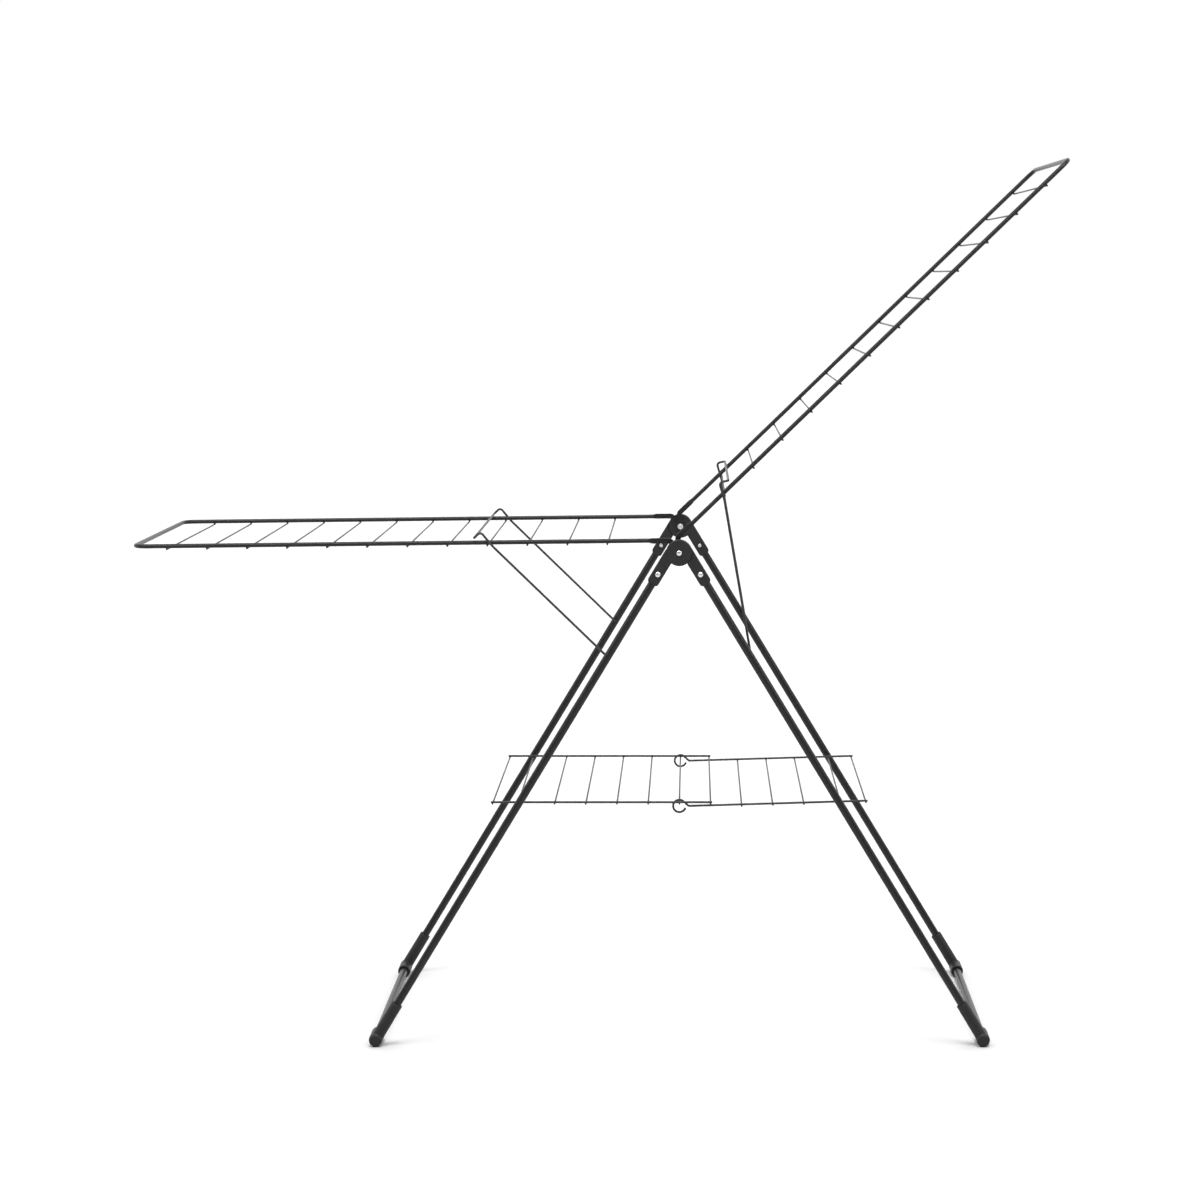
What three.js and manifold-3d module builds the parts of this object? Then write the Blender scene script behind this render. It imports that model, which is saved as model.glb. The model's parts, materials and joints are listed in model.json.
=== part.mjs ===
// Folding clothes airer: two hinged leg frames, two drying wings on wire stays and a folding shelf.
// Millimetres, +Z up, floor at Z = 0, the wings run along X and every tube and wire bar along Y.
// The near side is -Y. Here the left wing is level and the right wing is raised.
import * as THREE from 'three';
import { mergeVertices } from 'three/addons/utils/BufferGeometryUtils.js';
import Module from 'manifold-3d';

const wasm = await Module();
wasm.setup();

const gap = 0.3;                 // between neighbouring pieces
const pinClearance = 0.45;       // round the wires that turn in the legs
const hingeHeight = 911.8;       // top hinge above the floor

// Legs, measured along the leg axis from the top hinge
const legLean = 31.14;           // degrees from upright
const legOffset = 12.9;          // leg axis outside the hinge centre
const legY = 268;
const legRadius = 7.25;
const tubeWall = 1.2;
const legTop = 28.4;
const stayPivotDrop = 230.8;
const armRivetDrop = 53;

// Feet and the tubes between them
const footHeight = 12.4;         // centre of the foot above the floor
const footRadius = 12.3;
const footInnerY = 226;
const footOuterY = 281;
const footEdge = 4;              // rounding of the outer end
const sleeveRadius = 10.75;
const sleeveLength = 78;
const legEndAboveFoot = 14;
const crossTubeRadius = 7.5;
const crossTubeHalf = 264;
const soleWidth = 12;

// Hinge brackets
const discRadius = 23.5;
const discClearance = 24.3;
const discSides = 28;
const bracketInnerY = 258;
const bracketOuterY = 278;
const armWidth = 21;
const armLength = 73.6;
const armCorner = 5;

// Rivets
const headRadius = 4.9;
const headHeight = 2.6;
const headRim = 0.6;
const innerHead = { hinge: [5.5, 2.4], arm: [3.6, 1.2] };   // radius and height of the formed end
const hingeShankRadius = 3;
const armShankRadius = 2.2;

// Wings, measured from the top hinge
const wingDroop = 0.655;         // degrees below level, left wing
const wingRaise = 44.06;         // degrees above level, right wing
const railRise = 20.7;
const railY = 250.4;
const railRadius = 4;
const tipReach = 986;
const tipCorner = 24;
const lineCount = 12;
const lineStart = 129.6;
const lineSpacing = 72.4;
const lineDrop = 5.8;
const lineRadius = 1.5;
const lineHalf = 253.5;
const tabThickness = 2.6;
const tabHalfWidth = 5.5;
const tabKnee = 16;
const tabKneeRadius = 10;
const tabEnd = 46;
const crankEnd = 56;
const eyeRadius = 8;
const eyeHole = 3.4;
const tabY = { left: 256, right: 253 };

// Stays: a wire hoop from the legs to the top of the wing rails
const stayRadius = 2.2;
const stayY = 257.6;
const stayReach = 323;
const stayAngle = { left: 42, right: 97.44 };   // degrees above level, outwards
const stayPinY = 268;
const stayKink = [288.6, 11.5];  // along and above the straight line from pivot to cross bar
const stayTop = [321.6, 16.6];
const stayBend = { pin: 3, kink: 14, top: 6 };

// Shelf: two wire grids, hinged to each other in the middle
const shelfHeight = 447.5;
const barPitch = 57.1;
const shelfEdge = 342;
const outerBar = 228.4;
const barRadius = 1.5;
const shelfRailRadius = 2;
const shelfRailRise = 2.8;
const leftRailY = 243;
const rightRailY = 236;
const barOverhang = 3;
const rightTilt = 1.7;           // degrees, right rails fall towards the middle
const rightPivotHalf = 260.1;
const hookStart = 38;
const hookRadius = 11.5;
const hookDrop = 5.5;
const hookTurn = [65, 325];       // degrees, from the rail round to the open end
const hookStep = 20;

const coatedSteel = new THREE.MeshStandardMaterial({ color: 0x1c1c1d, roughness: 0.42, metalness: 0.3 });
const wireSteel = new THREE.MeshStandardMaterial({ color: 0x2a2a2b, roughness: 0.4, metalness: 0.3 });
const blackPlastic = new THREE.MeshStandardMaterial({ color: 0x161617, roughness: 0.55, metalness: 0 });
const brightSteel = new THREE.MeshStandardMaterial({ color: 0xc9cacc, roughness: 0.25, metalness: 1 });

const radians = THREE.MathUtils.degToRad;
const vector = (x, y, z) => new THREE.Vector3(x, y, z);

const leanSin = Math.sin(radians(legLean));
const leanCos = Math.cos(radians(legLean));

// A drop is a distance down the leg axis. Each drop has a height above the floor and an outward reach.
const dropTo = (height) => (hingeHeight + legOffset * leanSin - height) / leanCos;
const heightAt = (drop) => hingeHeight + legOffset * leanSin - drop * leanCos;
const reachAt = (drop) => legOffset * leanCos + drop * leanSin;

const footReach = reachAt(dropTo(footHeight));
const shelfPivot = reachAt(dropTo(shelfHeight));

function toSolid(geometry) {
  geometry.deleteAttribute('normal');
  geometry.deleteAttribute('uv');
  const merged = mergeVertices(geometry, 1e-4);
  const corners = merged.index.array;
  const kept = [];
  for (let i = 0; i < corners.length; i += 3) {
    const [a, b, c] = corners.slice(i, i + 3);
    if (a !== b && b !== c && c !== a) kept.push(a, b, c);
  }
  return new wasm.Manifold(new wasm.Mesh({
    numProp: 3,
    vertProperties: merged.attributes.position.array,
    triVerts: new Uint32Array(kept),
  }));
}

function toGeometry(solid) {
  const mesh = solid.getMesh();
  const geometry = new THREE.BufferGeometry();
  geometry.setAttribute('position', new THREE.BufferAttribute(mesh.vertProperties, 3));
  geometry.setIndex(new THREE.BufferAttribute(mesh.triVerts, 1));
  geometry.computeVertexNormals();
  return geometry;
}

// A bar swept along a path, mitred at each point. Its section there is [half height, half depth, power]:
// power 2 is an ellipse, and a higher power is squarer. Depth is along Y at the start.
function sweep(path, sides, sectionAt) {
  const corners = [];
  const faces = [];
  const heading = (i) => path[i + 1].clone().sub(path[i]).normalize();
  let along = heading(0);
  let depth = Math.abs(along.y) > 0.9 ? vector(1, 0, 0) : vector(0, 1, 0);
  depth.addScaledVector(along, -depth.dot(along)).normalize();
  path.forEach((point, i) => {
    const next = i < path.length - 1 ? heading(i) : along;
    const plane = along.clone().add(next).normalize();
    const height = depth.clone().cross(along);
    const [halfHeight, halfDepth, power] = sectionAt(point);
    for (let k = 0; k < sides; k += 1) {
      const angle = (2 * Math.PI * (k + 0.5)) / sides;
      const rounded = (value) => Math.sign(value) * Math.abs(value) ** (2 / power);
      const offset = height.clone().multiplyScalar(halfHeight * rounded(Math.cos(angle)));
      offset.addScaledVector(depth, halfDepth * rounded(Math.sin(angle)));
      offset.addScaledVector(along, -offset.dot(plane) / along.dot(plane));
      corners.push(...offset.add(point).toArray());
    }
    depth.applyQuaternion(new THREE.Quaternion().setFromUnitVectors(along, next));
    along = next;
  });
  for (let i = 0; i < path.length - 1; i += 1) {
    for (let k = 0; k < sides; k += 1) {
      const here = i * sides + k;
      const beside = i * sides + (k + 1) % sides;
      faces.push(here, beside, beside + sides, here, beside + sides, here + sides);
    }
  }
  const end = (path.length - 1) * sides;
  for (let k = 1; k < sides - 1; k += 1) {
    faces.push(0, k + 1, k, end, end + k, end + k + 1);
  }
  const geometry = new THREE.BufferGeometry();
  geometry.setAttribute('position', new THREE.Float32BufferAttribute(corners, 3));
  geometry.setIndex(faces);
  geometry.computeVertexNormals();
  return geometry;
}

const rod = (path, radius, sides) => sweep(path, sides, () => [radius, radius, 2]);
const solidRod = (from, to, radius, sides) => toSolid(rod([from, to], radius, sides));

// Turn each inner corner of a path into an arc of the radius that radiusAt gives for it.
function roundCorners(path, radiusAt, stepDegrees) {
  const rounded = [path[0]];
  for (let i = 1; i < path.length - 1; i += 1) {
    const corner = path[i];
    const radius = radiusAt(corner);
    if (radius === 0) {
      rounded.push(corner);
      continue;
    }
    const back = path[i - 1].clone().sub(corner).normalize();
    const ahead = path[i + 1].clone().sub(corner).normalize();
    const half = back.angleTo(ahead) / 2;
    const start = corner.clone().addScaledVector(back, radius / Math.tan(half));
    const end = corner.clone().addScaledVector(ahead, radius / Math.tan(half));
    const middle = back.clone().add(ahead).normalize();
    const centre = corner.clone().addScaledVector(middle, radius / Math.sin(half));
    const spoke = start.clone().sub(centre);
    const axis = spoke.clone().cross(end.clone().sub(centre)).normalize();
    const turn = Math.PI - 2 * half;
    const steps = Math.max(2, Math.ceil(turn / radians(stepDegrees)));
    for (let k = 0; k <= steps; k += 1) {
      rounded.push(spoke.clone().applyAxisAngle(axis, (turn * k) / steps).add(centre));
    }
  }
  rounded.push(path[path.length - 1]);
  return rounded;
}

// A flat plate: an outline in X and Z, between two Y values.
function plate(outline, yFrom, yTo) {
  const depth = Math.abs(yTo - yFrom);
  const geometry = new THREE.ExtrudeGeometry(outline, { depth, bevelEnabled: false, curveSegments: 16 });
  geometry.rotateX(Math.PI / 2);
  geometry.translate(0, Math.max(yFrom, yTo), 0);
  return toSolid(geometry);
}

function part(name, geometry, material) {
  const mesh = new THREE.Mesh(geometry, material);
  mesh.name = name;
  return mesh;
}

// A domed rivet along Y, from the formed inner end at innerY to the head at outerY.
function rivet(shankRadius, [innerRadius, innerHeight], innerY, outerY, y) {
  const domeSteps = 3;
  const profile = [
    new THREE.Vector2(0, innerY - innerHeight),
    new THREE.Vector2(innerRadius, innerY - innerHeight),
    new THREE.Vector2(innerRadius, innerY),
    new THREE.Vector2(shankRadius, innerY),
    new THREE.Vector2(shankRadius, outerY),
    new THREE.Vector2(headRadius, outerY),
  ];
  for (let k = 0; k < domeSteps; k += 1) {
    const angle = (Math.PI / 2) * (k / domeSteps);
    profile.push(new THREE.Vector2(
      headRadius * Math.cos(angle),
      outerY + headRim + (headHeight - headRim) * Math.sin(angle),
    ));
  }
  profile.push(new THREE.Vector2(0, outerY + headHeight));
  const geometry = new THREE.LatheGeometry(profile, 12);
  if (y < 0) geometry.rotateX(Math.PI);
  return geometry;
}

// Leg pieces are drawn about the top hinge with the leg pointing straight down.

function legTube(y) {
  const top = vector(legOffset, y * legY, -legTop);
  const bottom = vector(legOffset, y * legY, -(dropTo(footHeight) - legEndAboveFoot));
  const drill = (drop, radius, outerY) => solidRod(
    vector(legOffset, y * (legY - legRadius - 2), -drop),
    vector(legOffset, y * outerY, -drop),
    radius,
    12,
  );
  let tube = solidRod(top, bottom, legRadius, 16);
  const beyond = vector(0, 0, 1);
  const bore = solidRod(top.clone().add(beyond), bottom.clone().sub(beyond), legRadius - tubeWall, 16);
  tube = tube.subtract(bore);
  tube = tube.subtract(drill(armRivetDrop, armShankRadius + gap, legY + legRadius + 2));
  tube = tube.subtract(drill(stayPivotDrop, stayRadius + pinClearance, legY));
  tube = tube.subtract(drill(dropTo(shelfHeight), barRadius + pinClearance, legY));
  return toGeometry(tube);
}

// The left bracket carries the outer half of the hinge disc and the right bracket the inner half.
function bracket(side, y) {
  const split = (bracketInnerY + bracketOuterY) / 2;
  const inner = [bracketInnerY, split - gap / 2];
  const outer = [split + gap / 2, bracketOuterY];
  const own = side === 'left' ? outer : inner;
  const left = legOffset - armWidth / 2;
  const right = legOffset + armWidth / 2;
  const arm = new THREE.Shape();
  arm.moveTo(left, 0);
  arm.lineTo(left, armCorner - armLength);
  arm.absarc(left + armCorner, armCorner - armLength, armCorner, Math.PI, 1.5 * Math.PI, false);
  arm.absarc(right - armCorner, armCorner - armLength, armCorner, 1.5 * Math.PI, 2 * Math.PI, false);
  arm.lineTo(right, 0);
  const [cutFrom, cutTo] = side === 'left' ? [bracketInnerY - 1, own[0]] : [own[1], bracketOuterY + 1];
  const cutter = solidRod(vector(0, y * cutFrom, 0), vector(0, y * cutTo, 0), discClearance, discSides);
  let solid = plate(arm, y * bracketInnerY, y * bracketOuterY);
  solid = solid.subtract(cutter);
  solid = solid.add(solidRod(vector(0, y * own[0], 0), vector(0, y * own[1], 0), discRadius, discSides));
  const hinge = solidRod(
    vector(0, y * (bracketInnerY - 1), 0),
    vector(0, y * (bracketOuterY + 1), 0),
    hingeShankRadius + gap,
    16,
  );
  const socket = solidRod(
    vector(legOffset, y * legY, gap - legTop),
    vector(legOffset, y * legY, -armLength - 1),
    legRadius + gap,
    16,
  );
  const pin = solidRod(
    vector(legOffset, y * (bracketInnerY - 1), -armRivetDrop),
    vector(legOffset, y * (bracketOuterY + 1), -armRivetDrop),
    armShankRadius + gap,
    12,
  );
  return toGeometry(solid.subtract(hinge).subtract(socket).subtract(pin));
}

// The foot is drawn in the upright side frame: a sleeve on the leg, and a barrel on the cross tube.
function foot(y) {
  const centre = vector(footReach, y * legY, footHeight);
  const upLeg = vector(-leanSin, 0, leanCos);
  const sleeve = solidRod(centre, centre.clone().addScaledVector(upLeg, sleeveLength), sleeveRadius, 20);
  const profile = [
    new THREE.Vector2(0, footInnerY),
    new THREE.Vector2(footRadius, footInnerY),
    new THREE.Vector2(footRadius, footOuterY - footEdge),
    new THREE.Vector2(footRadius - footEdge * 0.3, footOuterY - footEdge * 0.3),
    new THREE.Vector2(footRadius - footEdge, footOuterY),
    new THREE.Vector2(0, footOuterY),
  ];
  const barrelGeometry = new THREE.LatheGeometry(profile, 20);
  if (y < 0) barrelGeometry.rotateX(Math.PI);
  barrelGeometry.translate(footReach, 0, footHeight);
  const soleLength = footOuterY - footEdge - footInnerY;
  const sole = new THREE.BoxGeometry(soleWidth, soleLength, footHeight);
  sole.translate(footReach, y * (footInnerY + soleLength / 2), footHeight / 2);
  const legBore = solidRod(
    centre.clone().addScaledVector(upLeg, legEndAboveFoot - gap),
    centre.clone().addScaledVector(upLeg, sleeveLength + 1),
    legRadius + gap,
    16,
  );
  const tubeBore = solidRod(
    vector(footReach, y * (footInnerY - 1), footHeight),
    vector(footReach, y * (crossTubeHalf + gap), footHeight),
    crossTubeRadius + gap,
    16,
  );
  const solid = sleeve.add(toSolid(barrelGeometry)).add(toSolid(sole));
  return toGeometry(solid.subtract(legBore).subtract(tubeBore));
}

function crossTube() {
  const end = vector(footReach, crossTubeHalf, footHeight);
  const start = vector(footReach, -crossTubeHalf, footHeight);
  const beyond = vector(0, 1, 0);
  const bore = solidRod(start.clone().sub(beyond), end.clone().add(beyond), crossTubeRadius - tubeWall, 16);
  return toGeometry(solidRod(start, end, crossTubeRadius, 16).subtract(bore));
}

function legs(side) {
  const frame = new THREE.Group();
  const leaning = new THREE.Group();
  leaning.position.z = hingeHeight;
  leaning.rotation.y = -radians(legLean);
  for (const end of ['near', 'far']) {
    const y = (end === 'near') === (side === 'right') ? -1 : 1;
    const head = rivet(armShankRadius, innerHead.arm, bracketInnerY - gap, bracketOuterY + gap, y);
    head.translate(legOffset, 0, -armRivetDrop);
    leaning.add(part(`${side}_leg_${end}`, legTube(y), coatedSteel));
    leaning.add(part(`${side}_bracket_${end}`, bracket(side, y), blackPlastic));
    leaning.add(part(`${side}_arm_rivet_${end}`, head, brightSteel));
    frame.add(part(`${side}_foot_${end}`, foot(y), blackPlastic));
  }
  frame.add(leaning);
  frame.add(part(`${side}_cross_tube`, crossTube(), coatedSteel));
  return frame;
}

// One bent tube: both ends are pressed flat, cranked sideways and drilled for the hinge rivet.
function wingFrame(side) {
  const half = [vector(0, tabY[side], 0), vector(tabKnee, tabY[side], railRise)];
  const crankSteps = 4;
  for (let k = 0; k <= crankSteps; k += 1) {
    const share = k / crankSteps;
    const y = THREE.MathUtils.lerp(tabY[side], railY, THREE.MathUtils.smoothstep(share, 0, 1));
    half.push(vector(THREE.MathUtils.lerp(tabEnd, crankEnd, share), y, railRise));
  }
  half.push(vector(tipReach, railY, railRise));
  const otherHalf = half.map((point) => vector(point.x, -point.y, point.z)).reverse();
  const radiusAt = (corner) => {
    if (corner.x === tipReach) return tipCorner;
    return corner.x === tabKnee ? tabKneeRadius : 0;
  };
  const path = roundCorners([...half, ...otherHalf], radiusAt, 22);
  const tube = sweep(path, 12, (point) => {
    const flat = 1 - THREE.MathUtils.smoothstep(point.x, tabEnd, crankEnd);
    return [
      THREE.MathUtils.lerp(railRadius, tabHalfWidth, flat),
      THREE.MathUtils.lerp(railRadius, tabThickness / 2, flat),
      THREE.MathUtils.lerp(2, 6, flat),
    ];
  });
  let solid = toSolid(tube);
  for (const y of [-tabY[side], tabY[side]]) {
    const halfThick = vector(0, tabThickness / 2, 0);
    const centre = vector(0, y, 0);
    const inner = centre.clone().sub(halfThick);
    const outer = centre.clone().add(halfThick);
    solid = solid.add(solidRod(inner, outer, eyeRadius, 24));
    const beyond = halfThick.clone();
    solid = solid.subtract(solidRod(inner.clone().sub(beyond), outer.clone().add(beyond), eyeHole, 16));
  }
  return toGeometry(solid);
}

function wing(side) {
  const group = new THREE.Group();
  group.position.z = hingeHeight;
  group.rotation.y = side === 'left' ? radians(wingDroop) : -radians(wingRaise);
  group.add(part(`${side}_wing_frame`, wingFrame(side), coatedSteel));
  for (let k = 0; k < lineCount; k += 1) {
    const at = (y) => vector(lineStart + k * lineSpacing, y, railRise - lineDrop);
    const name = `${side}_line_${String(k + 1).padStart(2, '0')}`;
    group.add(part(name, rod([at(-lineHalf), at(lineHalf)], lineRadius, 8), wireSteel));
  }
  return group;
}

// The stay is drawn from its pivot with X along the straight line to its cross bar.
function stay(side) {
  const half = [
    vector(0, stayPinY, 0),
    vector(0, stayY, 0),
    vector(stayKink[0], stayY, stayKink[1]),
    vector(stayTop[0], stayY, stayTop[1]),
    vector(stayReach, stayY, 0),
  ];
  const otherHalf = half.map((point) => vector(point.x, -point.y, point.z)).reverse();
  const radiusAt = (corner) => {
    if (corner.x === 0) return stayBend.pin;
    return corner.x === stayKink[0] ? stayBend.kink : stayBend.top;
  };
  const path = roundCorners([...half, ...otherHalf], radiusAt, 30);
  const hoop = part(`${side}_stay`, rod(path, stayRadius, 8), wireSteel);
  hoop.position.set(reachAt(stayPivotDrop), 0, heightAt(stayPivotDrop));
  hoop.rotation.y = -radians(stayAngle[side]);
  return hoop;
}

// Shelf grids are drawn about the middle bar, which is the hinge between them.

function crossBar(x, halfLength, z) {
  return solidRod(vector(x, -halfLength, z), vector(x, halfLength, z), barRadius, 8);
}

function leftGrid() {
  const bars = [shelfEdge, outerBar];
  for (let k = 3; k >= -1; k -= 1) bars.push(k * barPitch);
  let solid = crossBar(shelfPivot, stayPinY, 0);
  for (const x of bars) solid = solid.add(crossBar(x, leftRailY + barOverhang, 0));
  for (const y of [-leftRailY, leftRailY]) {
    const outer = vector(shelfEdge + barOverhang, y, shelfRailRise);
    const inner = vector(-barPitch - barOverhang, y, shelfRailRise);
    solid = solid.add(solidRod(outer, inner, shelfRailRadius, 8));
  }
  return toGeometry(solid);
}

function rightGrid() {
  const slope = Math.tan(radians(rightTilt));
  const railHeight = (x) => shelfRailRise - (shelfPivot - x) * slope;
  let solid = crossBar(shelfPivot, rightPivotHalf, 0);
  for (const x of [shelfEdge, outerBar, 3 * barPitch, 2 * barPitch]) {
    solid = solid.add(crossBar(x, rightRailY + barOverhang, railHeight(x) - shelfRailRise));
  }
  for (const y of [-rightRailY, rightRailY]) {
    const path = [shelfEdge + barOverhang, hookStart].map((x) => vector(x, y, railHeight(x)));
    for (let degrees = hookTurn[0]; degrees <= hookTurn[1]; degrees += hookStep) {
      const angle = radians(degrees);
      path.push(vector(hookRadius * Math.cos(angle), y, hookRadius * Math.sin(angle) - hookDrop));
    }
    solid = solid.add(toSolid(rod(path, shelfRailRadius, 8)));
  }
  return toGeometry(solid);
}

function shelf(side) {
  const grid = part(`${side}_shelf_grid`, side === 'left' ? leftGrid() : rightGrid(), wireSteel);
  grid.position.z = shelfHeight;
  return grid;
}

const airer = new THREE.Group();
for (const side of ['left', 'right']) {
  const half = new THREE.Group();
  half.rotation.z = side === 'left' ? Math.PI : 0;
  half.add(legs(side), wing(side), stay(side), shelf(side));
  airer.add(half);
}
for (const [end, y] of [['near', -1], ['far', 1]]) {
  const innerY = tabY.right - tabThickness / 2 - gap;
  const pin = part(
    `hinge_rivet_${end}`,
    rivet(hingeShankRadius, innerHead.hinge, innerY, bracketOuterY + gap, y),
    brightSteel,
  );
  pin.position.z = hingeHeight;
  airer.add(pin);
}

// The origin is on the floor, under the middle of the object's box.
const middle = new THREE.Box3().setFromObject(airer, true).getCenter(vector(0, 0, 0));
airer.position.x = -middle.x;

export default airer;
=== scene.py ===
import json
from math import ceil, cos, pi, radians, sin, tan

import bmesh
import bpy
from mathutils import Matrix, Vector


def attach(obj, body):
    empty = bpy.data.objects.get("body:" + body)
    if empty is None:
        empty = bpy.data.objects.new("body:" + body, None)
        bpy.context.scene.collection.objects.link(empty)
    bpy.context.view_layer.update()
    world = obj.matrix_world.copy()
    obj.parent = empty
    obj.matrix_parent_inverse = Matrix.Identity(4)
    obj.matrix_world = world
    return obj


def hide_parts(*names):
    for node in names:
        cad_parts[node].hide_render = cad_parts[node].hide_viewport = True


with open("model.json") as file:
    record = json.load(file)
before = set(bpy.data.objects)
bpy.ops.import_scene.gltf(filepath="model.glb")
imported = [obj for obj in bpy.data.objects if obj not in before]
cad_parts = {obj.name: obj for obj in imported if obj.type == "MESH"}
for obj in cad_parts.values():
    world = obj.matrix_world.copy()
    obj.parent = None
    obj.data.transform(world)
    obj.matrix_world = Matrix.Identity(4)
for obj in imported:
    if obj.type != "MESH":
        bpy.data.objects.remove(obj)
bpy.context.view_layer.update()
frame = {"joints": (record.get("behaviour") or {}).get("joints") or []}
joints = {joint["name"]: joint for joint in frame["joints"]}
hinge = Vector(joints["leg_fold"]["pos_m"])
shelfHinge = Vector(joints["shelf_right_fold"]["pos_m"])
outward = {"left": -1, "right": 1}
ends = {"near": -1, "far": 1}
print("frame loaded, top hinge at", tuple(round(value, 4) for value in hinge))


cameraLook = {
    "fromHinge": (0.0232, -5.179),  # sideways and back from the top hinge
    "height": 1.407,
    "tiltDown": 6.748,  # degrees
    "lens": 82.18,
    "shiftX": -0.0767,
}


def makeCamera(look):
    data = bpy.data.cameras.new("camera")
    data.lens = look["lens"]
    data.sensor_width = 36
    data.shift_x = look["shiftX"]
    camera = bpy.data.objects.new("camera", data)
    sideways, back = look["fromHinge"]
    camera.location = (hinge.x + sideways, back, look["height"])
    camera.rotation_euler = (radians(90 - look["tiltDown"]), 0, 0)
    bpy.context.scene.collection.objects.link(camera)
    bpy.context.scene.camera = camera


makeCamera(cameraLook)
print("camera placed")


noiseSpan = (0.3, 0.7)  # most of a noise's values lie between these


def addNode(tree, kind, **settings):
    node = tree.nodes.new(kind)
    for key, value in settings.items():
        setattr(node, key, value)
    return node


def startGroup(name, inputs, outputs):
    group = bpy.data.node_groups.new(name, "ShaderNodeTree")
    for label, kind, value in inputs:
        socket = group.interface.new_socket(name=label, in_out="INPUT", socket_type=kind)
        if value is not None:
            socket.default_value = value
    for label, kind in outputs:
        group.interface.new_socket(name=label, in_out="OUTPUT", socket_type=kind)
    return group, group.nodes.new("NodeGroupInput"), group.nodes.new("NodeGroupOutput")


def addRange(tree, fromSpan, toSpan=(0.0, 1.0), kind="LINEAR"):
    node = addNode(tree, "ShaderNodeMapRange", interpolation_type=kind)
    node.inputs["From Min"].default_value, node.inputs["From Max"].default_value = fromSpan
    node.inputs["To Min"].default_value, node.inputs["To Max"].default_value = toSpan
    return node


def addNoise(group, given, scale, detail, roughness=0.5):
    # a noise at the group's own place, sized by the input named in scale
    noise = addNode(group, "ShaderNodeTexNoise")
    noise.inputs["Detail"].default_value = detail
    noise.inputs["Roughness"].default_value = roughness
    group.links.new(given.outputs["Place"], noise.inputs["Vector"])
    group.links.new(given.outputs[scale], noise.inputs["Scale"])
    return noise


def makeCoatGrain():
    # orange peel of a sprayed or powder coat, with a finer tooth over it
    group, given, result = startGroup(
        "coatGrain",
        [
            ("Place", "NodeSocketVector", None),
            ("PeelScale", "NodeSocketFloat", 420.0),
            ("ToothScale", "NodeSocketFloat", 2600.0),
            ("ToothShare", "NodeSocketFloat", 0.35),
        ],
        [("Height", "NodeSocketFloat")],
    )
    peel = addNoise(group, given, "PeelScale", 2.0)
    tooth = addNoise(group, given, "ToothScale", 3.0)
    mixed = addNode(group, "ShaderNodeMix", data_type="FLOAT")
    group.links.new(given.outputs["ToothShare"], mixed.inputs["Factor"])
    group.links.new(peel.outputs["Fac"], mixed.inputs["A"])
    group.links.new(tooth.outputs["Fac"], mixed.inputs["B"])
    group.links.new(mixed.outputs["Result"], result.inputs["Height"])
    return group


def makeToneDrift():
    # slow change of tone over a batch of coating
    group, given, result = startGroup(
        "toneDrift",
        [
            ("Place", "NodeSocketVector", None),
            ("Scale", "NodeSocketFloat", 14.0),
            ("Dark", "NodeSocketColor", (0.01, 0.01, 0.01, 1)),
            ("Light", "NodeSocketColor", (0.02, 0.02, 0.02, 1)),
        ],
        [("Color", "NodeSocketColor")],
    )
    drift = addNoise(group, given, "Scale", 4.0, 0.6)
    spread = addRange(group, noiseSpan)
    mixed = addNode(group, "ShaderNodeMix", data_type="RGBA")
    group.links.new(drift.outputs["Fac"], spread.inputs["Value"])
    group.links.new(spread.outputs["Result"], mixed.inputs["Factor"])
    group.links.new(given.outputs["Dark"], mixed.inputs["A"])
    group.links.new(given.outputs["Light"], mixed.inputs["B"])
    group.links.new(mixed.outputs["Result"], result.inputs["Color"])
    return group


def makeHandlingWear():
    # faint rubs and specks where the piece is held, folded and hung on
    group, given, result = startGroup(
        "handlingWear",
        [
            ("Place", "NodeSocketVector", None),
            ("RubScale", "NodeSocketFloat", 30.0),
            ("SpeckScale", "NodeSocketFloat", 900.0),
            ("Amount", "NodeSocketFloat", 0.5),
        ],
        [("Mask", "NodeSocketFloat")],
    )
    rub = addNoise(group, given, "RubScale", 5.0)
    rubEdge = addRange(group, (0.55, 0.75), kind="SMOOTHSTEP")
    speck = addNoise(group, given, "SpeckScale", 2.0)
    speckEdge = addRange(group, (0.5, 0.8))
    both = addNode(group, "ShaderNodeMath", operation="MULTIPLY")
    scaled = addNode(group, "ShaderNodeMath", operation="MULTIPLY", use_clamp=True)
    group.links.new(rub.outputs["Fac"], rubEdge.inputs["Value"])
    group.links.new(speck.outputs["Fac"], speckEdge.inputs["Value"])
    group.links.new(rubEdge.outputs["Result"], both.inputs[0])
    group.links.new(speckEdge.outputs["Result"], both.inputs[1])
    group.links.new(both.outputs["Value"], scaled.inputs[0])
    group.links.new(given.outputs["Amount"], scaled.inputs[1])
    group.links.new(scaled.outputs["Value"], result.inputs["Mask"])
    return group


effects = {
    "coatGrain": makeCoatGrain(),
    "toneDrift": makeToneDrift(),
    "handlingWear": makeHandlingWear(),
}


def useEffect(tree, name, place, **values):
    node = addNode(tree, "ShaderNodeGroup", node_tree=effects[name])
    tree.links.new(place, node.inputs["Place"])
    for label, value in values.items():
        node.inputs[label].default_value = value
    return node


coatedTubeLook = {
    "dark": (0.0075, 0.0075, 0.008, 1),
    "light": (0.0135, 0.0135, 0.014, 1),
    "worn": (0.045, 0.045, 0.046, 1),
    "roughness": (0.3, 0.42),
    "specular": 0.32,
    "metallic": 0.0,
    "driftScale": 9.0,
    "peelScale": 380.0,
    "toothScale": 2400.0,
    "toothShare": 0.3,
    "grainDepth": 0.00012,
    "grainStrength": 0.35,
    "wear": 0.7,
    "rubScale": 18.0,
    "speckScale": 700.0,
}

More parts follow.
